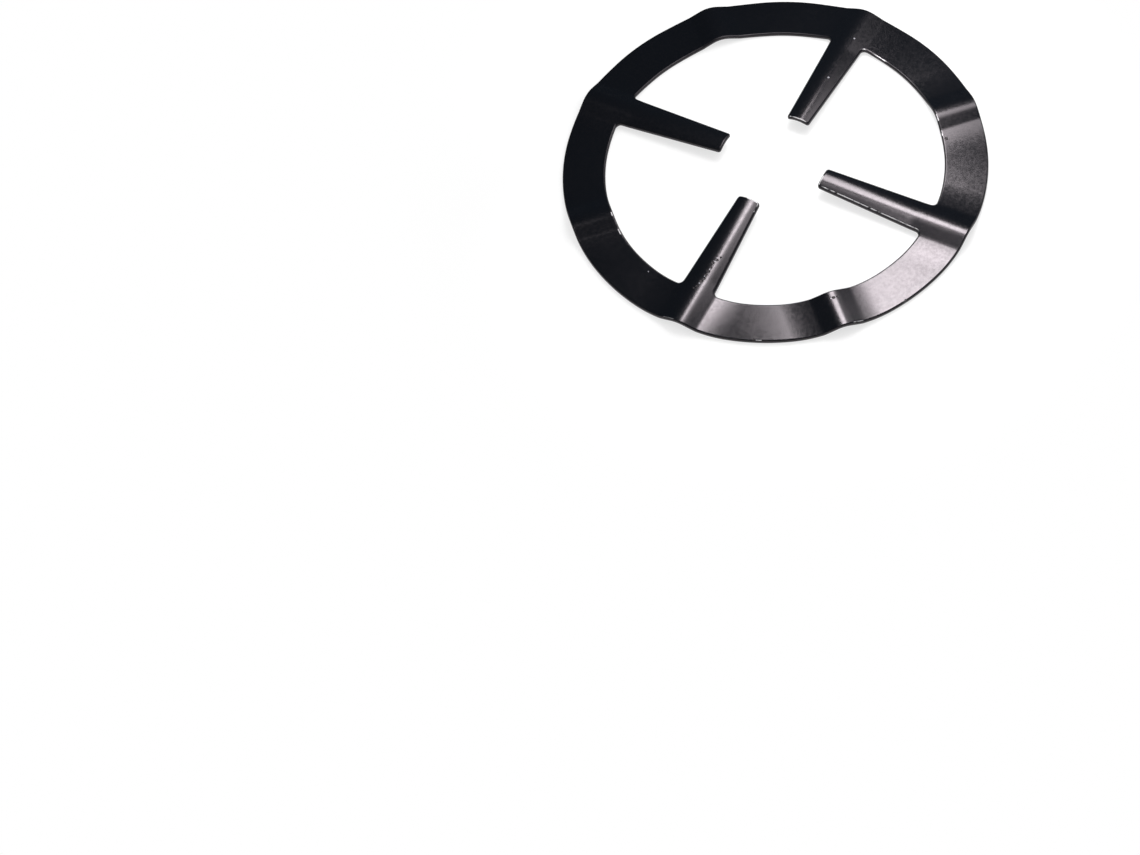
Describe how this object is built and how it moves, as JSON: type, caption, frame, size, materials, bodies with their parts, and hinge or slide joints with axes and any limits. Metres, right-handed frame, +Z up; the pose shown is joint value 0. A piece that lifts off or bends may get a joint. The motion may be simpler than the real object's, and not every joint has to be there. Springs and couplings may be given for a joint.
{
  "type": "gas hob reducer ring",
  "caption": "Pressed steel hob ring: a flat round band with inward tapered fingers and raised rounded beads that carry a small pot over a wide burner.",
  "frame": {"origin": "centre of the ring, on the plane that its flat underside rests on", "axes": "+Z up along the ring's axis, +X along one finger from the centre outwards, +Y along the next finger"},
  "size_m": [0.14, 0.14, 0.0054],
  "materials": {
    "black_enamel": "satin black enamel on pressed steel"
  },
  "bodies": {
    "root": {"reducer_ring": "black_enamel"}
  },
  "joints": []
}
